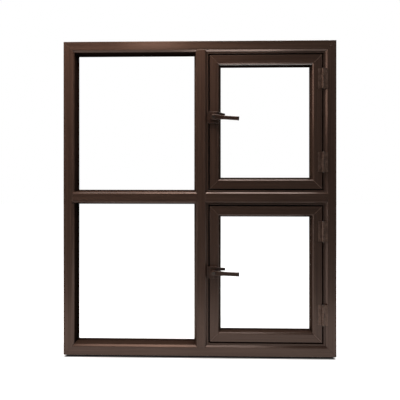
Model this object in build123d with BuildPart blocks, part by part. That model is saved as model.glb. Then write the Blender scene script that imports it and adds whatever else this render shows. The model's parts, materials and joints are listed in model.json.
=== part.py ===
from build123d import *
from math import cos, radians, sin, sqrt
import os

# Millimetres. +X to the right, +Y out of the room, +Z up; the front is the room side.
# The origin is the middle of the sill's underside.

# Outer frame
frame_width = 1300.0
frame_height = 1500.0
frame_depth = 62.0
frame_face = 41.0
frame_bevel = 9.0
frame_flange = 9.0

# Mullion and transoms
mullion_face = 38.0
mullion_bevel = 7.5
mullion_flange = 8.0
mullion_centre = 10.0
transom_centre = 754.0

# Extrusion details shared by all the bars
wall = 2.0
flange_thickness = 5.0
bevel_round = 2.5
edge_round = 1.0

# Casement stops: hollow strips with a rear leg that the sash closes against
stop_width = 8.0
stop_recess = 10.0
stop_wall = 1.6
stop_leg = 15.0
stop_leg_thickness = 3.0

# Sashes
sash_gap = 7.0
sash_recess = 9.0
sash_stop_gap = 3.0
sash_face = 39.0
sash_bevel = 6.5
sash_flange = 7.5
sash_flange_thickness = 4.0

# Butt hinges
hinge_height = 95.0
hinge_upper_rise = 205.0
hinge_lower_rise = 191.0
hinge_proud = 2.5
hinge_seat_gap = 0.4
hinge_face_lap = 1.0
knuckle_radius = 6.5
knuckle_gap = 0.5
knuckle_lift = 1.0
sash_leaf_width = 17.0
sash_leaf_thickness = 3.0
pin_radius = 3.0
pin_clearance = 0.05
pin_head_radius = 4.5
pin_head_height = 2.5

# Lever handles
case_width = 45.0
case_height = 55.0
case_thickness = 18.0
case_overhang = 5.0
case_round = 2.0
keeper_width = 6.0
keeper_height = 50.0
keeper_setback = 2.0
keeper_gap = 0.5
pivot_inset = 17.5
pivot_rise = 1.0
upper_handle_rise = 20.0
lower_handle_rise = 10.5
lever_length = 120.0
lever_height = 18.0
lever_thickness = 10.0
lever_neck = 52.0
lever_round = 4.0
upper_lever_tilt = 4.0
lower_lever_tilt = 2.5
hub_radius = 11.0
hub_length = 12.0
hub_flare = 2.0
running_gap = 0.3
spindle_radius = 5.0
spindle_seat = 12.0
spindle_head_radius = 8.0
spindle_head_height = 2.5
catch_length = 37.0
catch_root_radius = 7.5
catch_tip_height = 12.0
catch_thickness = 7.0
catch_offset = 18.0
catch_rise = 17.0
upper_catch_tilt = 12.0
lower_catch_tilt = 0.0

# Values worked out from the sizes above
front = -frame_depth / 2
flange_front = frame_depth - flange_thickness
frame_wall = frame_face + frame_bevel
mullion_half = mullion_face / 2 + mullion_bevel
sash_inset = stop_width + sash_gap
sash_depth = flange_front - stop_leg_thickness - sash_stop_gap - sash_recess
sash_flange_front = sash_depth - sash_flange_thickness

# Every bevel is as deep as it is wide, so a wall or gap measured square to it shifts corners by these shares.
bevel_wall_shift = sqrt(2) - 1
bevel_gap_shift = sqrt(2)

casement_left = mullion_centre + mullion_half
casement_right = frame_width / 2 - frame_wall
casement_spans = {
    "upper": (transom_centre + mullion_half, frame_height - frame_wall),
    "lower": (frame_wall, transom_centre - mullion_half),
}

RIGHT = Vector(1, 0, 0)
UP = Vector(0, 0, 1)
BACK = Vector(0, 1, 0)


def edge_plane(x, z, inward, depth=0.0):
    """Plane across a bar: its x runs inward from the bar's outer edge, its y runs back from the front."""
    return Plane(origin=(x, front + depth, z), x_dir=inward, z_dir=inward.cross(BACK))


def front_plane(x, z, depth, tilt=0.0):
    """Upright plane facing the room at a depth behind the frame's front, turned clockwise by a tilt."""
    along = (cos(radians(tilt)), 0, -sin(radians(tilt)))
    return Plane(origin=(x, front + depth, z), x_dir=along, z_dir=-BACK)


def edge_outline(face, bevel, flange, flange_start, depth):
    """Section of an edge bar: flat face, bevelled inner edge, and a flange at the back."""
    return [
        (0, 0),
        (face, 0),
        (face + bevel, bevel),
        (face + bevel, flange_start),
        (face + bevel + flange, flange_start),
        (face + bevel + flange, depth),
        (0, depth),
    ]


def edge_chamber(face, bevel, depth):
    """Hollow inside an edge bar, one wall in from its outside."""
    return [
        (wall, wall),
        (face - wall * bevel_wall_shift, wall),
        (face + bevel - wall, bevel + wall * bevel_wall_shift),
        (face + bevel - wall, depth - wall),
        (wall, depth - wall),
    ]


def both_sides(half_outline):
    """Outline of a bar that is the same on both sides of its middle."""
    return half_outline + [(-x, y) for x, y in reversed(half_outline)]


def middle_outline():
    half = mullion_face / 2
    return both_sides([
        (half, 0),
        (half + mullion_bevel, mullion_bevel),
        (half + mullion_bevel, flange_front),
        (half + mullion_bevel + mullion_flange, flange_front),
        (half + mullion_bevel + mullion_flange, frame_depth),
    ])


def middle_chamber():
    half = mullion_face / 2
    return both_sides([
        (half - wall * bevel_wall_shift, wall),
        (half + mullion_bevel - wall, mullion_bevel + wall * bevel_wall_shift),
        (half + mullion_bevel - wall, frame_depth - wall),
    ])


def sharp_section(plane, outline):
    """Filled section with sharp corners, for cutting a bar's end to the bar it meets."""
    with BuildSketch(plane) as section:
        with BuildLine():
            Polyline(*outline, close=True)
        make_face()
    return section.sketch


def hollow_section(plane, outline, chamber, soft, crisp):
    """Hollow section whose soft and crisp corners are rounded by their own radius."""
    with BuildSketch(plane) as section:
        with BuildLine():
            Polyline(*outline, close=True)
        make_face()
        for corner in soft:
            fillet(section.vertices().sort_by_distance(corner)[0], bevel_round)
        for corner in crisp:
            fillet(section.vertices().sort_by_distance(corner)[0], edge_round)
        with BuildLine():
            Polyline(*chamber, close=True)
        make_face(mode=Mode.SUBTRACT)
    return section.sketch


def edge_section(plane, outline, chamber):
    return hollow_section(plane, outline, chamber, outline[1:3], outline[:1] + outline[4:])


def middle_section(plane):
    outline = middle_outline()
    soft = [corner for corner in outline if corner[1] in (0, mullion_bevel)]
    crisp = [corner for corner in outline if corner[1] == frame_depth]
    return hollow_section(plane, outline, middle_chamber(), soft, crisp)


def mitre_planes(plane, length):
    """The two 45 degree cuts of a bar, each facing away from the bar."""
    along = [plane.z_dir, -plane.z_dir]
    return [Plane(origin=plane.origin + end * (length / 2), z_dir=plane.x_dir + end) for end in along]


def save(piece, name):
    piece.part.label = name
    export_step(piece.part, f"parts/{name}.step")


os.makedirs("parts", exist_ok=True)

# Outer frame: four hollow bars mitred at the corners
frame_outline = edge_outline(frame_face, frame_bevel, frame_flange, flange_front, frame_depth)
frame_chamber = edge_chamber(frame_face, frame_bevel, frame_depth)
frame_edges = {
    "head": (edge_plane(0, frame_height, -UP), frame_width),
    "sill": (edge_plane(0, 0, UP), frame_width),
    "left_jamb": (edge_plane(-frame_width / 2, frame_height / 2, RIGHT), frame_height),
    "right_jamb": (edge_plane(frame_width / 2, frame_height / 2, -RIGHT), frame_height),
}
for name, (plane, length) in frame_edges.items():
    with BuildPart() as edge_bar:
        extrude(edge_section(plane, frame_outline, frame_chamber), amount=length / 2, both=True)
        for cut in mitre_planes(plane, length):
            split(bisect_by=cut, keep=Keep.BOTTOM)
    save(edge_bar, name)

# Mullion: runs from head to sill, its ends cut to the shape of both
mullion_plane = edge_plane(mullion_centre, frame_height / 2, RIGHT)
with BuildPart() as mullion:
    extrude(middle_section(mullion_plane), amount=frame_height / 2 - frame_face, both=True)
    for name in ("head", "sill"):
        plane, length = frame_edges[name]
        extrude(sharp_section(plane, frame_outline), amount=length / 2, both=True, mode=Mode.SUBTRACT)
save(mullion, "mullion")

# Transoms: from each jamb to the mullion, their ends cut to the shape of both
transom_spans = {
    "left": (-frame_width / 2 + frame_face, mullion_centre - mullion_face / 2),
    "right": (mullion_centre + mullion_face / 2, frame_width / 2 - frame_face),
}
for side, (start, end) in transom_spans.items():
    transom_plane = edge_plane((start + end) / 2, transom_centre, UP)
    jamb_plane, jamb_length = frame_edges[f"{side}_jamb"]
    neighbours = [sharp_section(jamb_plane, frame_outline), sharp_section(mullion_plane, middle_outline())]
    with BuildPart() as transom:
        extrude(middle_section(transom_plane), amount=(end - start) / 2, both=True)
        for neighbour in neighbours:
            extrude(neighbour, amount=jamb_length / 2, both=True, mode=Mode.SUBTRACT)
    save(transom, f"{side}_transom")


def ring_edges(left, right, bottom, top, depth):
    """Plane and length of the four bars around an opening."""
    middle_x = (left + right) / 2
    middle_z = (bottom + top) / 2
    return {
        "top": (edge_plane(middle_x, top, -UP, depth), right - left),
        "bottom": (edge_plane(middle_x, bottom, UP, depth), right - left),
        "left": (edge_plane(left, middle_z, RIGHT, depth), top - bottom),
        "right": (edge_plane(right, middle_z, -RIGHT, depth), top - bottom),
    }


# Casement stops: they line each casement opening and stand on the frame's rear flange
stop_outline = [
    (0, stop_recess),
    (stop_width, stop_recess),
    (stop_width, flange_front - stop_leg_thickness),
    (stop_width + stop_leg, flange_front - stop_leg_thickness),
    (stop_width + stop_leg, flange_front),
    (0, flange_front),
]
stop_chamber = [
    (stop_wall, stop_recess + stop_wall),
    (stop_width - stop_wall, stop_recess + stop_wall),
    (stop_width - stop_wall, flange_front - stop_wall),
    (stop_wall, flange_front - stop_wall),
]
for row, (bottom, top) in casement_spans.items():
    for side, (plane, length) in ring_edges(casement_left, casement_right, bottom, top, 0).items():
        section = hollow_section(plane, stop_outline, stop_chamber, [], stop_outline[1:2])
        with BuildPart() as stop:
            extrude(section, amount=length / 2, both=True)
            for cut in mitre_planes(plane, length):
                split(bisect_by=cut, keep=Keep.BOTTOM)
        save(stop, f"{row}_{side}_stop")

# Sashes: four hollow bars each, mitred at the corners, set in from the stops by the gap
sash_outline = edge_outline(sash_face, sash_bevel, sash_flange, sash_flange_front, sash_depth)
sash_chamber = edge_chamber(sash_face, sash_bevel, sash_depth)
sash_left = casement_left + sash_inset
sash_right = casement_right - sash_inset
sash_spans = {row: (bottom + sash_inset, top - sash_inset) for row, (bottom, top) in casement_spans.items()}
sash_bar_names = {"top": "top_rail", "bottom": "bottom_rail", "left": "lock_stile", "right": "hinge_stile"}
for row, (bottom, top) in sash_spans.items():
    for side, (plane, length) in ring_edges(sash_left, sash_right, bottom, top, sash_recess).items():
        with BuildPart() as sash_bar:
            extrude(edge_section(plane, sash_outline, sash_chamber), amount=length / 2, both=True)
            for cut in mitre_planes(plane, length):
                split(bisect_by=cut, keep=Keep.BOTTOM)
        save(sash_bar, f"{row}_sash_{sash_bar_names[side]}")

# Butt hinges: frame leaf with two knuckles, sash leaf with one, and a headed pin
pivot_u = frame_wall + stop_width + sash_gap / 2
pivot_d = sash_recess - knuckle_lift - knuckle_radius
knuckle_length = (hinge_height - 2 * knuckle_gap) / 3
knuckle_step = knuckle_length + knuckle_gap
frame_leaf_edge = pivot_u - knuckle_radius - knuckle_gap
seat_u = frame_wall + hinge_seat_gap
bevel_shift = hinge_seat_gap * bevel_gap_shift
frame_leaf_outline = [
    (frame_face - hinge_face_lap, -hinge_proud),
    (frame_leaf_edge, -hinge_proud),
    (frame_leaf_edge, stop_recess),
    (seat_u, stop_recess),
    (seat_u, seat_u - frame_face - bevel_shift),
    (frame_face + bevel_shift, 0),
    (frame_face - hinge_face_lap, 0),
]
sash_leaf_start = pivot_u + knuckle_radius - knuckle_gap
sash_leaf_front = sash_recess - sash_leaf_thickness
sash_leaf_end = sash_leaf_start + sash_leaf_width
hinge_rises = {"top": hinge_upper_rise, "bottom": -hinge_lower_rise}
hinge_heights = {
    f"{row}_{place}": (bottom + top) / 2 + rise
    for row, (bottom, top) in sash_spans.items()
    for place, rise in hinge_rises.items()
}


def knuckle_section(plane, reach_to, low, high):
    """Round knuckle with a web that joins it to its leaf."""
    with BuildSketch(plane) as section:
        with Locations((pivot_u, pivot_d)):
            Circle(knuckle_radius)
        with BuildLine():
            Polyline((pivot_u, low), (reach_to, low), (reach_to, high), (pivot_u, high), close=True)
        make_face()
    return section.sketch


def round_section(plane, centre, radius):
    with BuildSketch(plane) as section:
        with Locations(centre):
            Circle(radius)
    return section.sketch


for name, height in hinge_heights.items():
    hinge_plane = edge_plane(frame_width / 2, height, -RIGHT)
    pivot = (pivot_u, pivot_d)
    bore = round_section(hinge_plane, pivot, pin_radius + pin_clearance)
    with BuildPart() as frame_leaf:
        extrude(sharp_section(hinge_plane, frame_leaf_outline), amount=hinge_height / 2, both=True)
        for side in (1, -1):
            knuckle_plane = hinge_plane.offset(side * knuckle_step)
            knuckle = knuckle_section(knuckle_plane, frame_leaf_edge - knuckle_gap, -hinge_proud, pivot_d)
            extrude(knuckle, amount=knuckle_length / 2, both=True)
        extrude(bore, amount=hinge_height, both=True, mode=Mode.SUBTRACT)
    save(frame_leaf, f"{name}_hinge_frame_leaf")

    with BuildPart() as sash_leaf:
        plate = [
            (sash_leaf_start, sash_leaf_front),
            (sash_leaf_end, sash_leaf_front),
            (sash_leaf_end, sash_recess),
            (sash_leaf_start, sash_recess),
        ]
        extrude(sharp_section(hinge_plane, plate), amount=hinge_height / 2, both=True)
        knuckle = knuckle_section(hinge_plane, sash_leaf_start + knuckle_gap, pivot_d, sash_recess)
        extrude(knuckle, amount=knuckle_length / 2, both=True)
        extrude(bore, amount=hinge_height, both=True, mode=Mode.SUBTRACT)
    save(sash_leaf, f"{name}_hinge_sash_leaf")

    with BuildPart() as pin:
        extrude(round_section(hinge_plane, pivot, pin_radius), amount=hinge_height / 2, both=True)
        for side in (1, -1):
            head_plane = hinge_plane.offset(side * (hinge_height + pin_head_height) / 2)
            head = round_section(head_plane, pivot, pin_head_radius)
            extrude(head, amount=pin_head_height / 2, both=True)
    save(pin, f"{name}_hinge_pin")

# Lever handles: lock case on the sash, keeper on the stop, lever on a headed spindle, and a fixed catch
handle_rises = {"upper": upper_handle_rise, "lower": lower_handle_rise}
lever_tilts = {"upper": upper_lever_tilt, "lower": lower_lever_tilt}
catch_tilts = {"upper": upper_catch_tilt, "lower": lower_catch_tilt}
case_front = sash_recess - case_thickness
lever_back = case_front - running_gap - hub_length
lever_front = lever_back - lever_thickness
pivot_x = sash_left + pivot_inset
case_left = sash_left - case_overhang


def lever_section(plane):
    """Lever seen from the room: a round hub that narrows to a straight, square-ended arm."""
    hub = hub_radius + hub_flare
    half = lever_height / 2
    with BuildSketch(plane) as section:
        Circle(hub)
        with BuildLine():
            Polyline(
                (0, hub),
                (lever_neck, half),
                (lever_length, half),
                (lever_length, -half),
                (lever_neck, -half),
                (0, -hub),
                close=True,
            )
        make_face()
    return section.sketch


def catch_section(plane):
    """Short teardrop arm: a round root that tapers to a blunt tip."""
    half = catch_tip_height / 2
    with BuildSketch(plane) as section:
        Circle(catch_root_radius)
        with BuildLine():
            Polyline(
                (0, catch_root_radius),
                (catch_length, half),
                (catch_length, -half),
                (0, -catch_root_radius),
                close=True,
            )
        make_face()
    return section.sketch


for row, (bottom, top) in sash_spans.items():
    centre_z = (bottom + top) / 2 + handle_rises[row]
    pivot_z = centre_z + pivot_rise
    case_plane = front_plane(case_left + case_width / 2, centre_z, sash_recess)
    seat_plane = front_plane(pivot_x, pivot_z, case_front)
    with BuildPart() as case:
        with BuildSketch(case_plane):
            Rectangle(case_width, case_height)
        extrude(amount=case_thickness)
        fillet(case.faces().sort_by(Axis.Y)[0].edges(), case_round)
        bore = round_section(seat_plane, (0, 0), spindle_radius + pin_clearance)
        extrude(bore, amount=-spindle_seat, mode=Mode.SUBTRACT)
    save(case, f"{row}_handle_case")

    keeper_x = case_left - keeper_gap - keeper_width / 2
    with BuildPart() as keeper:
        with BuildSketch(front_plane(keeper_x, centre_z, stop_recess)):
            Rectangle(keeper_width, keeper_height)
        extrude(amount=stop_recess - case_front - keeper_setback)
        fillet(keeper.faces().sort_by(Axis.Y)[0].edges(), case_round / 2)
    save(keeper, f"{row}_handle_keeper")

    lever_plane = front_plane(pivot_x, pivot_z, lever_back, lever_tilts[row])
    with BuildPart() as lever:
        extrude(lever_section(lever_plane), amount=lever_thickness)
        fillet(lever.faces().sort_by(Axis.Y)[0].edges(), lever_round)
        extrude(round_section(lever_plane, (0, 0), hub_radius), amount=-hub_length)
        bore = round_section(lever_plane, (0, 0), spindle_radius + pin_clearance)
        extrude(bore, amount=hub_length + lever_thickness, both=True, mode=Mode.SUBTRACT)
    save(lever, f"{row}_handle_lever")

    with BuildPart() as spindle:
        shank_plane = front_plane(pivot_x, pivot_z, case_front + spindle_seat)
        shank_length = case_front + spindle_seat - lever_front + running_gap
        extrude(round_section(shank_plane, (0, 0), spindle_radius), amount=shank_length)
        head_plane = front_plane(pivot_x, pivot_z, lever_front - running_gap)
        extrude(round_section(head_plane, (0, 0), spindle_head_radius), amount=spindle_head_height)
        fillet(spindle.faces().sort_by(Axis.Y)[0].edges(), edge_round)
    save(spindle, f"{row}_handle_spindle")

    catch_plane = front_plane(pivot_x + catch_offset, pivot_z + catch_rise, case_front, catch_tilts[row])
    with BuildPart() as catch:
        extrude(catch_section(catch_plane), amount=catch_thickness)
        fillet(catch.faces().sort_by(Axis.Y)[0].edges(), edge_round)
    save(catch, f"{row}_handle_catch")
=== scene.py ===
"""Looks of the metal window frame: finishes, small fittings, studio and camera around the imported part."""

import json
import math

import bmesh
import bpy
from mathutils import Matrix, Vector


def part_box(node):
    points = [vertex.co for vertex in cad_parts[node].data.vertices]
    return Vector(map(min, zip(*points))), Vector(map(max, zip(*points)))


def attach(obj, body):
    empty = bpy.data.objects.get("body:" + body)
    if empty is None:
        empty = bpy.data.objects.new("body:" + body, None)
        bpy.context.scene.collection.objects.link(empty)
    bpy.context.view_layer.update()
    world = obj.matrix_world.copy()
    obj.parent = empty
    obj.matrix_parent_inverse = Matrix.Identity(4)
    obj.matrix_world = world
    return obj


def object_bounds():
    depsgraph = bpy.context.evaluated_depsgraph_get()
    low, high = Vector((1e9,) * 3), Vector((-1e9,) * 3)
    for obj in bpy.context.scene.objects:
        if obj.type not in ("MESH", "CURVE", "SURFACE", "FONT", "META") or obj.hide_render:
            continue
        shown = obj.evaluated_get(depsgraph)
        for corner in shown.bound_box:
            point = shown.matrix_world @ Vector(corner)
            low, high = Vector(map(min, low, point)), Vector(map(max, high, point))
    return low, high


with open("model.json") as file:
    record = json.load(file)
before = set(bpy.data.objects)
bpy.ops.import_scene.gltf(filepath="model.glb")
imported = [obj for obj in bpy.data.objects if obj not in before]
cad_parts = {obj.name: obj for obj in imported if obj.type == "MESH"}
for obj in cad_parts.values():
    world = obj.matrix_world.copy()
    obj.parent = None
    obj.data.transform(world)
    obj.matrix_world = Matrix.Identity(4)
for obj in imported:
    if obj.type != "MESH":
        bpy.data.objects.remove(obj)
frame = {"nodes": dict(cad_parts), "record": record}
cad_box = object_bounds()
nodes = frame["nodes"]
scene = bpy.context.scene
scene.view_settings.view_transform = "Standard"

MM = 0.001

# Colours are linear
BRONZE = (0.065, 0.0382, 0.0278)
BRONZE_DARK = (0.045, 0.0262, 0.0188)
BRONZE_LIGHT = (0.092, 0.056, 0.042)
BRONZE_WORN = (0.17, 0.108, 0.082)
# Painted shade colour for the walls inside the window
BRONZE_PAINTED_SHADE = (0.012, 0.0070, 0.0052)
LACQUER = (1.0, 0.80, 0.72)
CAST_BRONZE = (0.027, 0.0150, 0.0105)
CAST_BRONZE_LIGHT = (0.046, 0.026, 0.0185)
HINGE_BRONZE = (0.074, 0.0455, 0.0335)
HINGE_BRONZE_LIGHT = (0.125, 0.080, 0.060)
HINGE_BRONZE_WORN = (0.24, 0.165, 0.135)
DARK_BRONZE = (0.014, 0.0090, 0.0078)
DARK_BRONZE_LIGHT = (0.023, 0.0143, 0.0122)
STEEL = (0.10, 0.080, 0.068)
STEEL_WORN = (0.30, 0.26, 0.23)
RUBBER = (0.005, 0.005, 0.005)
RUBBER_WORN = (0.014, 0.014, 0.014)
# Pale grey of the strip that paints a highlight line on the upper sash
HIGHLIGHT_GREY = (0.36, 0.34, 0.32)
HIGHLIGHT_GREY_DUSTY = (0.22, 0.21, 0.20)

# Sizes of the part that the fittings follow, in metres
SASH_FACE = 39 * MM
SASH_BEVEL = 6.5 * MM
FRAME_FACE = 41 * MM
FRAME_BEVEL = 9 * MM
STOP_WIDTH = 8 * MM
STOP_LEG_FRONT = 23 * MM
LEVER_LENGTH = 120 * MM
LEVER_HEIGHT = 18 * MM
LEVER_THICKNESS = 10 * MM
LEVER_ROUND = 4 * MM
LEVER_TILTS = {"upper": 4.0, "lower": 2.5}

# Camera
CAMERA_PLACE = Vector((0.0568, -2.191, 0.8923))
CAMERA_YAW = 1.38
CAMERA_SENSOR = 36.0
CAMERA_LENS = 40.845
CAMERA_SHIFT_Y = -0.0785


# Shader nodes
def add_node(tree, kind, settings=None, **inputs):
    """Add a node. Each input is a value, or a socket to link from; its name has _ for spaces."""
    node = tree.nodes.new(kind)
    for name, value in (settings or {}).items():
        setattr(node, name, value)
    for name, value in inputs.items():
        connect(tree, node.inputs[name.replace("_", " ")], value)
    return node


def connect(tree, socket, value):
    if isinstance(value, bpy.types.NodeSocket):
        tree.links.new(value, socket)
    else:
        socket.default_value = value


def calculate(tree, operation, *values):
    """Math node on values or sockets."""
    node = add_node(tree, "ShaderNodeMath", {"operation": operation})
    for socket, value in zip(node.inputs, values):
        connect(tree, socket, value)
    return node.outputs[0]


def remap(tree, value, low, high, to_low, to_high):
    """Value between low and high, spread smoothly over a new range."""
    node = add_node(
        tree,
        "ShaderNodeMapRange",
        {"interpolation_type": "SMOOTHSTEP"},
        Value=value,
        From_Min=low,
        From_Max=high,
        To_Min=to_low,
        To_Max=to_high,
    )
    return node.outputs[0]


def blend_colour(tree, factor, first, second):
    node = add_node(tree, "ShaderNodeMix", {"data_type": "RGBA"})
    connect(tree, node.inputs["Factor"], factor)
    for socket, colour in zip([s for s in node.inputs if s.type == "RGBA"], (first, second)):
        connect(tree, socket, colour if isinstance(colour, bpy.types.NodeSocket) else (*colour, 1))
    return next(s for s in node.outputs if s.type == "RGBA")


def noise(tree, coordinates, per_metre, detail=3.0, roughness=0.55):
    """Noise whose cells per metre are given for x, y and z."""
    mapping = add_node(tree, "ShaderNodeMapping", Vector=coordinates, Scale=per_metre)
    texture = add_node(
        tree, "ShaderNodeTexNoise", Vector=mapping.outputs[0], Scale=1.0, Detail=detail, Roughness=roughness
    )
    return texture.outputs[0]


BEVEL_SAMPLES = 8
# Products of rounded and true normal between which an edge starts and is full
EDGE_RANGE = (0.995, 0.90)


def rounded_normal(tree, radius):
    """Normal of the surface with its edges softened."""
    return add_node(tree, "ShaderNodeBevel", {"samples": BEVEL_SAMPLES}, Radius=radius).outputs[0]


def edge_mask(tree, radius):
    """0 on flat areas, 1 on the sharp edges, from how far a rounded normal turns from the true one."""
    true_normal = add_node(tree, "ShaderNodeNewGeometry").outputs["Normal"]
    product = add_node(tree, "ShaderNodeVectorMath", {"operation": "DOT_PRODUCT"})
    connect(tree, product.inputs[0], rounded_normal(tree, radius))
    connect(tree, product.inputs[1], true_normal)
    return remap(tree, product.outputs["Value"], *EDGE_RANGE, 0.0, 1.0)


def add_bump(tree, shader, height, strength, distance, **normal):
    """Bump in a shader's normal, over the true normal unless another one is given."""
    bump = add_node(tree, "ShaderNodeBump", Height=height, Strength=strength, Distance=distance, **normal)
    connect(tree, shader.inputs["Normal"], bump.outputs[0])


def new_material(name):
    """Empty material, with its tree, its shader and the object's own coordinates."""
    material = bpy.data.materials.new(name)
    material.use_nodes = True
    tree = material.node_tree
    shader = tree.nodes["Principled BSDF"]
    coordinates = add_node(tree, "ShaderNodeTexCoord").outputs["Object"]
    return material, tree, shader, coordinates


def even(scale):
    """Cells per metre of a texture that is alike along all axes."""
    return (scale, scale, scale)


def along(run, length_scale, cross_scale):
    """Cells per metre of a texture drawn out along one axis."""
    return tuple(length_scale if axis == run else cross_scale for axis in "xyz")


def coating(name, run, tint=1.0, roughness=0.18, gloss=0.4):
    """Satin bronze coating on an extruded bar: die lines along it, broad clouds, grain, and edges made
    lighter, partly as wear and partly as a painted highlight.
    """
    material, tree, shader, coordinates = new_material(name)
    lines = noise(tree, coordinates, along(run, 2.5, 420.0), detail=4.0)
    bands = noise(tree, coordinates, along(run, 1.2, 70.0))
    clouds = noise(tree, coordinates, even(5.0))
    grain = noise(tree, coordinates, even(2600.0), detail=2.0)
    wear_and_sheen = noise(tree, coordinates, along(run, 9.0, 60.0))

    dark, mid, light = ([c * tint for c in colour] for colour in (BRONZE_DARK, BRONZE, BRONZE_LIGHT))
    banded = blend_colour(tree, remap(tree, bands, 0.35, 0.65, 0.0, 1.0), dark, mid)
    lined = blend_colour(tree, remap(tree, lines, 0.45, 0.75, 0.0, 0.7), banded, light)
    clouded = blend_colour(tree, remap(tree, clouds, 0.3, 0.7, 0.0, 0.3), lined, mid)
    # Lighter edges: partly wear, partly a painted highlight along every edge
    edges = calculate(tree, "MULTIPLY", edge_mask(tree, 1.4 * MM), remap(tree, wear_and_sheen, 0.3, 0.7, 0.05, 0.25))
    connect(tree, shader.inputs["Base Color"], blend_colour(tree, edges, clouded, BRONZE_WORN))

    satin = calculate(tree, "MULTIPLY_ADD", lines, 0.10, roughness - 0.05)
    connect(tree, shader.inputs["Roughness"], calculate(tree, "MULTIPLY_ADD", clouds, 0.06, satin))
    height = calculate(tree, "MULTIPLY_ADD", lines, 0.6, calculate(tree, "MULTIPLY", grain, 0.4))
    soft_edges = rounded_normal(tree, 2.2 * MM)
    add_bump(tree, shader, height, strength=0.10, distance=0.2 * MM, Normal=soft_edges)
    shader.inputs["Metallic"].default_value = 0.15
    shader.inputs["Specular IOR Level"].default_value = gloss
    shader.inputs["Specular Tint"].default_value = (*LACQUER, 1)
    return material


def painted_shade_coating(name):
    """Dull walls that run back from the face, in painted shade: dark, and lighter on those that look up or
    left, where the light falls.
    """
    material, tree, shader, coordinates = new_material(name)
    clouds = noise(tree, coordinates, even(25.0), detail=4.0)
    grain = noise(tree, coordinates, even(1500.0), detail=2.0)
    normal = add_node(tree, "ShaderNodeNewGeometry").outputs["Normal"]
    facing = add_node(tree, "ShaderNodeSeparateXYZ", Vector=normal).outputs
    # Painted light: walls that look up or left are made lighter, where the light falls on them
    painted_light_facing = calculate(tree, "MAXIMUM", facing["Z"], calculate(tree, "MULTIPLY", facing["X"], -1.0))
    patchy = blend_colour(tree, remap(tree, clouds, 0.35, 0.7, 0.0, 0.12), BRONZE_PAINTED_SHADE, BRONZE_DARK)
    painted_light_colour = blend_colour(tree, remap(tree, painted_light_facing, 0.3, 0.8, 0.0, 0.7), patchy, BRONZE)
    connect(tree, shader.inputs["Base Color"], painted_light_colour)
    connect(tree, shader.inputs["Roughness"], calculate(tree, "MULTIPLY_ADD", clouds, 0.2, 0.6))
    add_bump(tree, shader, grain, strength=0.15, distance=0.1 * MM)
    shader.inputs["Specular IOR Level"].default_value = 0.0
    return material


def cast_metal(name, base, light, worn, roughness, metallic):
    """Hardware: coated casting with a fine orange-peel surface, blotches and edges rubbed brighter."""
    material, tree, shader, coordinates = new_material(name)
    peel = noise(tree, coordinates, even(900.0), detail=3.0)
    blotches = noise(tree, coordinates, even(60.0))
    rubbing = noise(tree, coordinates, even(220.0), detail=4.0)
    blotched = blend_colour(tree, remap(tree, blotches, 0.35, 0.7, 0.0, 1.0), base, light)
    edges = calculate(tree, "MULTIPLY", edge_mask(tree, 1.2 * MM), remap(tree, rubbing, 0.3, 0.6, 0.2, 0.8))
    connect(tree, shader.inputs["Base Color"], blend_colour(tree, edges, blotched, worn))
    rough = calculate(tree, "MULTIPLY_ADD", rubbing, 0.18, roughness - 0.09)
    connect(tree, shader.inputs["Roughness"], rough)
    add_bump(tree, shader, peel, strength=0.18, distance=0.15 * MM)
    shader.inputs["Metallic"].default_value = metallic
    shader.inputs["Specular IOR Level"].default_value = 0.4
    shader.inputs["Specular Tint"].default_value = (*LACQUER, 1)
    return material


def moulded(name, base, worn, roughness):
    """Rubber, and the pale strip of painted highlight: fine moulded grain, dusty patches and slightly paler
    edges.
    """
    material, tree, shader, coordinates = new_material(name)
    grain = noise(tree, coordinates, even(1800.0), detail=2.0)
    dust = noise(tree, coordinates, even(45.0), detail=5.0)
    dusty = blend_colour(tree, remap(tree, dust, 0.5, 0.8, 0.0, 0.5), base, worn)
    edges = calculate(tree, "MULTIPLY", edge_mask(tree, 0.8 * MM), 0.5)
    connect(tree, shader.inputs["Base Color"], blend_colour(tree, edges, dusty, worn))
    connect(tree, shader.inputs["Roughness"], calculate(tree, "MULTIPLY_ADD", dust, 0.2, roughness - 0.1))
    add_bump(tree, shader, grain, strength=0.25, distance=0.1 * MM)
    shader.inputs["Specular IOR Level"].default_value = 0.25
    return material


frame_upright = coating("frame_upright", "z")
frame_level = coating("frame_level", "x")
sash_upright = coating("sash_upright", "z", tint=0.95)
sash_level = coating("sash_level", "x", tint=0.9)
stop_upright = coating("stop_upright", "z", tint=0.8, roughness=0.3)
stop_level = coating("stop_level", "x", tint=0.8, roughness=0.3)
outer_upright = coating("outer_upright", "z", roughness=0.5, gloss=0.1)
outer_level = coating("outer_level", "x", roughness=0.5, gloss=0.1)
# Painted shade on the walls inside the window and on flanges above or left of a light
painted_shade_walls = painted_shade_coating("painted_shade_wall_coat")
hardware = cast_metal(
    "hardware_bronze", CAST_BRONZE, CAST_BRONZE_LIGHT, BRONZE_WORN, roughness=0.34, metallic=0.2
)
hinge_metal = cast_metal(
    "hinge_bronze", HINGE_BRONZE, HINGE_BRONZE_LIGHT, HINGE_BRONZE_WORN, roughness=0.30, metallic=0.25
)
dark_metal = cast_metal(
    "dark_bronze", DARK_BRONZE, DARK_BRONZE_LIGHT, BRONZE_WORN, roughness=0.36, metallic=0.2
)
mitre_line = cast_metal(
    "mitre_line", BRONZE_LIGHT, BRONZE_WORN, BRONZE_WORN, roughness=0.35, metallic=0.15
)
steel = cast_metal("dark_steel", STEEL, STEEL, STEEL_WORN, roughness=0.32, metallic=1.0)
rubber = moulded("black_rubber", RUBBER, RUBBER_WORN, roughness=0.6)
highlight_strip_finish = moulded("painted_highlight_grey", HIGHLIGHT_GREY, HIGHLIGHT_GREY_DUSTY, roughness=0.5)


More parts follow.
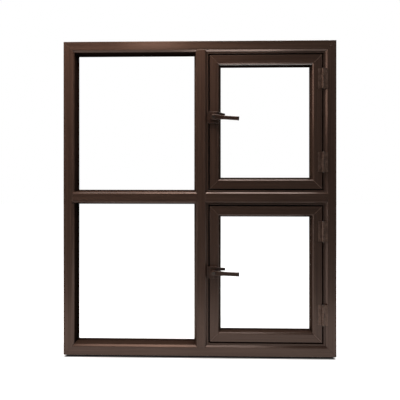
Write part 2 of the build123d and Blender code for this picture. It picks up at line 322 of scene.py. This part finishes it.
# Finishes of the CAD nodes
LEVEL_ENDS = ("head", "sill", "transom", "rail", "top_stop", "bottom_stop")
BAR_SLOTS = ("frame_metal", "sash_metal", "stop_metal")
WALL_TILT = 0.35


def finish_of(name, slot):
    """Material of a CAD node, by its slot and the way the bar runs."""
    level = name.endswith(LEVEL_ENDS)
    return {
        "frame_metal": frame_level if level else frame_upright,
        "sash_metal": sash_level if level else sash_upright,
        "stop_metal": stop_level if level else stop_upright,
        "hardware_metal": hinge_metal if "_hinge_" in name else hardware,
        "pin_steel": steel,
        "catch": dark_metal,
    }[slot]


def coat_index(polygon, level, middle):
    """Index of the coat on a bar's polygon.

    0 is a face, 1 a wall that runs back from it or a rear flange above or left of a light, both in painted
    shade, 2 an outer side.
    """
    if abs(polygon.normal.y) < WALL_TILT:
        outer = any(abs(polygon.center[axis] - side[axis]) < MM for side in cad_box for axis in (0, 2))
        return 2 if outer else 1
    # Flanges above or left of a light get painted shade, where the light from the upper left does not reach
    in_painted_shade = polygon.center.z < middle.z if level else polygon.center.x > middle.x
    return int(polygon.normal.y < 0 and polygon.center.y > 0 and in_painted_shade)


for subpart in frame["record"]["subparts"]:
    name, slot = subpart["node"], subpart["material_slot"]
    mesh = nodes[name].data
    mesh.materials.clear()
    mesh.materials.append(finish_of(name, slot))
    if slot in BAR_SLOTS:
        level = name.endswith(LEVEL_ENDS)
        mesh.materials.append(painted_shade_walls)
        mesh.materials.append(outer_level if level else outer_upright)
        low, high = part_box(name)
        for polygon in mesh.polygons:
            polygon.material_index = coat_index(polygon, level, (low + high) / 2)


# Small fittings
SHARP_ANGLE = math.radians(40)


def add_piece(name, shape, material, body):
    """Turn a bmesh into an object that rides on a body."""
    bmesh.ops.recalc_face_normals(shape, faces=shape.faces)
    for face in shape.faces:
        face.smooth = True
    mesh = bpy.data.meshes.new(name)
    shape.to_mesh(mesh)
    shape.free()
    mesh.materials.append(material)
    mesh.set_sharp_from_angle(angle=SHARP_ANGLE)
    piece = bpy.data.objects.new(name, mesh)
    scene.collection.objects.link(piece)
    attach(piece, body)


def loft(shape, rings, closed_path=False):
    """Skin rings of points, which all have the same count, and cap the ends of an open path."""
    loops = [[shape.verts.new(point) for point in ring] for ring in rings]
    following = loops[1:] + loops[:1] if closed_path else loops[1:]
    for first, second in zip(loops, following):
        for i in range(len(first)):
            j = (i + 1) % len(first)
            shape.faces.new((first[i], first[j], second[j], second[i]))
    if not closed_path:
        shape.faces.new(loops[0])
        shape.faces.new(reversed(loops[-1]))


SCREW_RADIUS = 3.3 * MM
SCREW_RINGS = 12
SCREW_SEGMENTS = 40
SCREW_DOME = 0.6 * MM
SCREW_RIM = 0.1 * MM
SCREW_SEAT = 0.5 * MM
RECESS_REACH = 1.9 * MM
RECESS_HALF = 0.42 * MM
RECESS_DEPTH = 0.75 * MM


def screw_height(across, up):
    """Height of an oval cross-recess screw head above its seat."""
    radius = math.hypot(across, up)
    dome = SCREW_RIM + SCREW_DOME * (1 - (radius / SCREW_RADIUS) ** 2)
    in_recess = min(abs(across), abs(up)) < RECESS_HALF and radius < RECESS_REACH
    return dome - RECESS_DEPTH * (1 - 0.5 * radius / RECESS_REACH) if in_recess else dome


def add_screw(shape, place, turn):
    """Screw head facing -Y, seated at a place on a surface, its cross turned by an angle."""
    centre = shape.verts.new(place + Vector((0, -screw_height(0, 0), 0)))
    rings = []
    for ring in range(1, SCREW_RINGS + 1):
        radius = SCREW_RADIUS * ring / SCREW_RINGS
        loop = []
        for segment in range(SCREW_SEGMENTS):
            angle = math.tau * segment / SCREW_SEGMENTS
            height = screw_height(radius * math.cos(angle), radius * math.sin(angle))
            offset = Vector((radius * math.cos(angle + turn), -height, radius * math.sin(angle + turn)))
            loop.append(shape.verts.new(place + offset))
        rings.append(loop)
    rings.append([shape.verts.new(vertex.co + Vector((0, SCREW_SEAT, 0))) for vertex in rings[-1]])
    for i in range(SCREW_SEGMENTS):
        j = (i + 1) % SCREW_SEGMENTS
        shape.faces.new((centre, rings[0][i], rings[0][j]))
        for inner, outer in zip(rings, rings[1:]):
            shape.faces.new((inner[i], outer[i], outer[j], inner[j]))


LEAF_SCREW_PITCH = 32 * MM
# Step up the leaf, and the turns of the crosses on the frame leaf and on the sash leaf
LEAF_SCREWS = ((-1, -0.7, 1.6), (0, 0.4, 0.9), (1, 1.5, 0.2))
FRAME_LEAF_PROUD = 2.5 * MM
SASH_LEAF_PROUD = 3 * MM
FRAME_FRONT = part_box("mullion")[0].y
SASH_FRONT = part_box("upper_sash_top_rail")[0].y
KNUCKLE_WIDTH = 13 * MM


def hinge_screws(hinge):
    """Three screws on each leaf of a hinge."""
    frame_low, frame_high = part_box(f"{hinge}_hinge_frame_leaf")
    sash_low, sash_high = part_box(f"{hinge}_hinge_sash_leaf")
    frame_x = (frame_low.x + KNUCKLE_WIDTH + frame_high.x) / 2
    sash_x = (sash_low.x + sash_high.x - KNUCKLE_WIDTH) / 2
    middle = (frame_low.z + frame_high.z) / 2
    shape = bmesh.new()
    for step, frame_turn, sash_turn in LEAF_SCREWS:
        z = middle + step * LEAF_SCREW_PITCH
        add_screw(shape, Vector((frame_x, FRAME_FRONT - FRAME_LEAF_PROUD, z)), frame_turn)
        add_screw(shape, Vector((sash_x, SASH_FRONT - SASH_LEAF_PROUD, z)), sash_turn)
    add_piece(f"{hinge}_hinge_screws", shape, hinge_metal, "window")


CASE_SCREW_INSET = 6.5 * MM
TOP_SCREW_TURN = 0.3
BOTTOM_SCREW_TURN = 1.2


def case_screws(row):
    """Two screws that hold the lock case, above and below the lever's hub."""
    low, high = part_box(f"{row}_handle_case")
    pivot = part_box(f"{row}_handle_spindle")
    x = (pivot[0].x + pivot[1].x) / 2
    shape = bmesh.new()
    add_screw(shape, Vector((x, low.y, high.z - CASE_SCREW_INSET)), TOP_SCREW_TURN)
    add_screw(shape, Vector((x, low.y, low.z + CASE_SCREW_INSET)), BOTTOM_SCREW_TURN)
    add_piece(f"{row}_handle_screws", shape, hardware, "window")


BEAD_SIDES = 10
BEAD_TAPER = 0.3


def bead(shape, path, across, half_width, half_height):
    """Oval bead along a path; across is the unit vector square to the path's plane."""
    rings = []
    for i, point in enumerate(path):
        ahead = path[min(i + 1, len(path) - 1)] - path[max(i - 1, 0)]
        rise = ahead.normalized().cross(across)
        taper = BEAD_TAPER if i in (0, len(path) - 1) else 1.0
        ring = []
        for side in range(BEAD_SIDES):
            angle = math.tau * side / BEAD_SIDES
            lift = rise * half_height * math.cos(angle)
            ring.append(point + taper * (lift + across * half_width * math.sin(angle)))
        rings.append(ring)
    loft(shape, rings)


MITRE_START = 1.2 * MM
MITRE_TAPER = 1 * MM
MITRE_HALF_HEIGHT = 0.35 * MM
MITRE_LEFT_WIDTH = 0.5
FRAME_MITRE_HALF = 0.35 * MM
SASH_MITRE_HALF = 1.0 * MM
# Shares of the bevel at which the bead has a ring
MITRE_BEVEL_SHARES = (0.15, 0.85, 1.0)


def mitre_lines(name, low, high, front, face, bevel, half_width, material, slot):
    """Filled mitre joint over the face and bevel at the corners of a mitred frame, tighter at the left."""
    shape = bmesh.new()
    for x, side in ((low.x, 1), (high.x, -1)):
        for z, lift in ((low.z, 1), (high.z, -1)):
            on_face = (MITRE_START, MITRE_START + MITRE_TAPER, face - MITRE_TAPER, face)
            reaches = [(reach, 0) for reach in on_face]
            reaches += [(face + bevel * share, bevel * share) for share in MITRE_BEVEL_SHARES]
            path = [Vector((x + side * reach, front + depth, z + lift * reach)) for reach, depth in reaches]
            across = Vector((lift, 0, -side)).normalized()
            tight = MITRE_LEFT_WIDTH if side > 0 else 1.0
            bead(shape, path, across, half_width * tight, MITRE_HALF_HEIGHT)
    add_piece(name, shape, material, "window")


# Pairs of distance from the stop and depth, in millimetres
SEAL_PROFILE = (
    (0.4, 0),
    (0.4, -2.2),
    (1.1, -3.8),
    (2.4, -4.7),
    (3.9, -4.7),
    (5.2, -3.8),
    (5.9, -2.2),
    (5.9, 0),
)


def weather_seal(row):
    """Black bulb seal that lies on the stop's leg all round the sash, at the bottom of the gap."""
    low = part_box(f"{row}_left_stop")[0]
    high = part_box(f"{row}_right_stop")[1]
    shape = bmesh.new()
    rings = []
    for side, lift in ((1, 1), (-1, 1), (-1, -1), (1, -1)):
        corner = Vector((low.x if side > 0 else high.x, STOP_LEG_FRONT, low.z if lift > 0 else high.z))
        ring = []
        for inward, depth in SEAL_PROFILE:
            reach = STOP_WIDTH + inward * MM
            ring.append(corner + Vector((side * reach, depth * MM, lift * reach)))
        rings.append(ring)
    loft(shape, rings, closed_path=True)
    add_piece(f"{row}_weather_seal", shape, rubber, "window")


CAP_LENGTH = 7 * MM
CAP_WALL = 0.35 * MM
CAP_ARC_STEPS = 6


def cap_ring(inset):
    """Pairs of depth from the back and height round the lever's arm, grown by the wall less an inset."""
    grow = CAP_WALL - inset
    half = LEVER_HEIGHT / 2 + grow
    round_centre = LEVER_HEIGHT / 2 - LEVER_ROUND
    radius = LEVER_ROUND + grow
    ring = [(-grow, -half), (-grow, half)]
    for sign in (1, -1):
        for step in range(CAP_ARC_STEPS + 1):
            angle = math.radians(90) * (step if sign > 0 else CAP_ARC_STEPS - step) / CAP_ARC_STEPS
            depth = LEVER_THICKNESS - LEVER_ROUND + radius * math.sin(angle)
            ring.append((depth, sign * (round_centre + radius * math.cos(angle))))
    return ring


def lever_cap(row):
    """Dark cap over the square end of a lever."""
    low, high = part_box(f"{row}_handle_spindle")
    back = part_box(f"{row}_handle_lever")[0].y + LEVER_THICKNESS
    pivot = Vector(((low.x + high.x) / 2, back, (low.z + high.z) / 2))
    turn = Matrix.Rotation(math.radians(LEVER_TILTS[row]), 4, "Y")
    stations = (
        (LEVER_LENGTH - CAP_LENGTH, CAP_WALL),
        (LEVER_LENGTH - CAP_LENGTH + CAP_WALL, 0),
        (LEVER_LENGTH - CAP_WALL, 0),
        (LEVER_LENGTH + CAP_WALL, CAP_WALL),
        (LEVER_LENGTH + 1.5 * CAP_WALL, 4 * CAP_WALL),
    )
    shape = bmesh.new()
    rings = []
    for reach, inset in stations:
        rings.append([pivot + turn @ Vector((reach, -depth, height)) for depth, height in cap_ring(inset)])
    loft(shape, rings)
    add_piece(f"{row}_lever_cap", shape, dark_metal, f"{row}_lever")


# Strip that paints the thin highlight line along the upper sash's top rail
HIGHLIGHT_STRIP_HEIGHT = 3.2 * MM
HIGHLIGHT_STRIP_LAP = 1.6 * MM
HIGHLIGHT_STRIP_DEPTH = 7 * MM
HIGHLIGHT_STRIP_PROUD = 0.3 * MM
HIGHLIGHT_STRIP_STEPS = 60
# Pairs of depth and height, as shares of the strip's depth and height
HIGHLIGHT_STRIP_SECTION = ((0, 0), (0, -0.8), (0.12, -1), (0.88, -1), (1, -0.8), (1, 0))


def painted_highlight_strip():
    """Pale grey strip of painted highlight along the upper sash's top rail, over the bevel's lower edge; its
    edge is uneven.
    """
    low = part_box("upper_sash_lock_stile")[0]
    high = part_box("upper_sash_hinge_stile")[1]
    reach = SASH_FACE + SASH_BEVEL
    top = high.z - reach + HIGHLIGHT_STRIP_LAP
    front = SASH_FRONT + SASH_BEVEL - HIGHLIGHT_STRIP_LAP - HIGHLIGHT_STRIP_PROUD
    start, end = low.x + reach, high.x - reach
    shape = bmesh.new()
    rings = []
    for step in range(HIGHLIGHT_STRIP_STEPS + 1):
        x = start + (end - start) * step / HIGHLIGHT_STRIP_STEPS
        drop = HIGHLIGHT_STRIP_HEIGHT * (1 + 0.07 * math.sin(1.9 * step) + 0.05 * math.sin(0.6 * step + 1))
        rings.append(
            [Vector((x, front + HIGHLIGHT_STRIP_DEPTH * deep, top + drop * tall)) for deep, tall in HIGHLIGHT_STRIP_SECTION]
        )
    loft(shape, rings)
    add_piece("upper_painted_highlight_strip", shape, highlight_strip_finish, "window")


for hinge in ("upper_top", "upper_bottom", "lower_top", "lower_bottom"):
    hinge_screws(hinge)
corners = *cad_box, FRAME_FRONT, FRAME_FACE, FRAME_BEVEL
mitre_lines("frame_mitres", *corners, FRAME_MITRE_HALF, frame_level, "frame_metal")
for row in ("upper", "lower"):
    sash_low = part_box(f"{row}_sash_lock_stile")[0]
    sash_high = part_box(f"{row}_sash_hinge_stile")[1]
    corners = sash_low, sash_high, SASH_FRONT, SASH_FACE, SASH_BEVEL
    mitre_lines(f"{row}_sash_mitres", *corners, SASH_MITRE_HALF, mitre_line, "sash_metal")
    case_screws(row)
    weather_seal(row)
    lever_cap(row)
painted_highlight_strip()


# Studio
ROOM_LIGHT = 0.072
ROOM_COLOUR = (0.75, 0.92, 1.0)
KEY_COLOUR = (1.0, 0.79, 0.68)
SOFT_BOXES = {
    # name: place, aim, width and height, radiance
    "key_left": ((-0.62, -0.8, 2.05), (-0.62, -0.03, 1.0), (1.05, 0.5), 1.9),
    "key_middle": ((-0.2, -0.3, 1.9), (-0.2, -0.05, 1.0), (0.5, 0.3), 9.6),
    "key_front": ((-0.35, -1.0, 1.9), (-0.1, 0.0, 1.0), (0.35, 0.3), 4.3),
    "key_side": ((-2.0, -0.65, 1.75), (0.3, 0.0, 1.2), (0.4, 0.8), 5.0),
    "fill_right": ((0.35, -0.5, 2.1), (0.35, -0.2, 0.0), (0.6, 0.6), 0.9),
    "top_strip_left": ((-0.58, -0.15, 2.5), (-0.58, -0.12, 0.0), (1.05, 0.25), 4.4),
    "top_strip_middle": ((0.12, -0.15, 2.5), (0.12, -0.12, 0.0), (0.35, 0.25), 16.0),
    "top_strip_right": ((0.42, -0.15, 2.5), (0.42, -0.12, 0.0), (1.0, 0.25), 10.5),
    "front_strip": ((0.25, -1.0, 2.4), (0.25, -0.9, 0.0), (0.7, 0.25), 7.0),
    "left_low_box": ((-2.0, -1.5, 0.35), (0.0, 0.0, 0.3), (0.6, 0.5), 10.5),
    "right_box": ((1.9, -1.35, 1.25), (0.3, 0.0, 0.9), (0.12, 1.2), 9.0),
    "back_box": ((0.5, 1.6, 2.7), (0.0, 0.0, 0.7), (1.2, 0.8), 10.0),
    "floor_card": ((0.25, -0.56, 0.02), (0.25, -0.56, 1.0), (0.7, 0.25), 4.4),
}
# Degrees over which a lamp spreads its light, where that is narrowed
SPREADS = {"key_left": 90, "floor_card": 60}
# How far back a reflection has to look to meet the backdrop
BACKDROP_FADE = (0.3, 0.6)


def soft_box(name, place, aim, size, radiance):
    """Area light of a given width, height and radiance, aimed at a point; the keys are warm."""
    light = bpy.data.lights.new(name, "AREA")
    light.shape = "RECTANGLE"
    light.size, light.size_y = size
    light.energy = radiance * math.pi * size[0] * size[1]
    light.color = KEY_COLOUR if name.startswith("key") else (1, 1, 1)
    lamp = bpy.data.objects.new(name, light)
    lamp.location = place
    lamp.rotation_euler = (Vector(aim) - Vector(place)).to_track_quat("-Z", "Y").to_euler()
    lamp.visible_camera = False
    scene.collection.objects.link(lamp)
    return lamp


def white_world():
    """White to the eye and in reflections of what lies behind the window; elsewhere a dim, cool room."""
    world = bpy.data.worlds.new("studio")
    world.use_nodes = True
    scene.world = world
    tree = world.node_tree
    background = tree.nodes["Background"]
    path = add_node(tree, "ShaderNodeLightPath").outputs
    direction = add_node(tree, "ShaderNodeTexCoord").outputs["Generated"]
    backward = add_node(tree, "ShaderNodeSeparateXYZ", Vector=direction).outputs["Y"]
    backdrop = remap(tree, backward, *BACKDROP_FADE, 0.0, 1.0)
    mirrored = calculate(tree, "MULTIPLY", path["Is Glossy Ray"], backdrop)
    seen = calculate(tree, "MAXIMUM", path["Is Camera Ray"], path["Is Transmission Ray"])
    white = calculate(tree, "MAXIMUM", seen, mirrored)
    connect(tree, background.inputs["Color"], blend_colour(tree, white, ROOM_COLOUR, (1, 1, 1)))
    connect(tree, background.inputs["Strength"], calculate(tree, "MAXIMUM", white, ROOM_LIGHT))


FLOOR_HALF = 9.0
PAPER = (0.66, 0.66, 0.66)
PAPER_LIGHT = (0.72, 0.72, 0.72)
# Painted shadow line under the sill: how far it lies to the front, and where it fades
PAINTED_SHADOW_DARK = (0.01, 0.01, 0.01)
CONTACT_FORWARD = 0.010
CONTACT_FADE_Y = (0.035, 0.062)
CONTACT_FADE_X = (0.630, 0.652)
# Distances from the window over which the floor's glow changes, and the glow near and far,
# in reflections (a painted pool of light) and to the eye
POOL_FADE, POOL_GLOW = (0.5, 1.2), (1.0, 0.12)
EYE_FADE, EYE_GLOW = (0.5, 2.5), (0.92, 1.0)


def pale_floor():
    """Wide pale floor: white to the eye, a painted pool of light by the window, a painted shadow line where
    the sill stands.
    """
    mesh = bpy.data.meshes.new("floor")
    half = FLOOR_HALF
    corners = [(-half, -half, 0), (half, -half, 0), (half, half, 0), (-half, half, 0)]
    mesh.from_pydata(corners, [], [(0, 1, 2, 3)])
    floor = bpy.data.objects.new("floor", mesh)
    scene.collection.objects.link(floor)
    material, tree, shader, coordinates = new_material("floor_paper")
    shader.inputs["Roughness"].default_value = 0.9
    shader.inputs["Specular IOR Level"].default_value = 0.0
    shader.inputs["Emission Color"].default_value = (1, 1, 1, 1)
    mottle = noise(tree, coordinates, even(14.0))
    paper = blend_colour(tree, mottle, PAPER, PAPER_LIGHT)
    position = add_node(tree, "ShaderNodeSeparateXYZ", Vector=coordinates).outputs
    sideways = calculate(tree, "ABSOLUTE", position["X"])
    away = calculate(tree, "ABSOLUTE", position["Y"])
    path = add_node(tree, "ShaderNodeLightPath").outputs
    shaded = calculate(tree, "ABSOLUTE", calculate(tree, "ADD", position["Y"], CONTACT_FORWARD))
    across = remap(tree, shaded, *CONTACT_FADE_Y, 1.0, 0.0)
    under = calculate(tree, "MULTIPLY", across, remap(tree, sideways, *CONTACT_FADE_X, 1.0, 0.0))
    # Painted shadow: to the eye the floor turns near black in a line under the sill
    painted_shadow = calculate(tree, "MULTIPLY", path["Is Camera Ray"], under)
    connect(tree, shader.inputs["Base Color"], blend_colour(tree, painted_shadow, paper, PAINTED_SHADOW_DARK))

    # Painted pool of light: the floor glows in reflections, brighter near the window
    pool = remap(tree, away, *POOL_FADE, *POOL_GLOW)
    mirrored = calculate(tree, "MAXIMUM", path["Is Glossy Ray"], path["Is Transmission Ray"])
    seen = calculate(tree, "SUBTRACT", path["Is Camera Ray"], painted_shadow)
    white = calculate(tree, "MULTIPLY", seen, remap(tree, away, *EYE_FADE, *EYE_GLOW))
    glow = calculate(tree, "MULTIPLY_ADD", mirrored, pool, white)
    connect(tree, shader.inputs["Emission Strength"], glow)
    mesh.materials.append(material)


lamps = {name: soft_box(name, *values) for name, values in SOFT_BOXES.items()}
for name, degrees in SPREADS.items():
    lamps[name].data.spread = math.radians(degrees)
lamps["floor_card"].visible_diffuse = False
white_world()
pale_floor()

camera_data = bpy.data.cameras.new("camera")
camera_data.sensor_width = CAMERA_SENSOR
camera_data.lens = CAMERA_LENS
camera_data.shift_y = CAMERA_SHIFT_Y
camera = bpy.data.objects.new("camera", camera_data)
camera.location = CAMERA_PLACE
camera.rotation_euler = (math.radians(90), 0, math.radians(CAMERA_YAW))
scene.collection.objects.link(camera)
scene.camera = camera
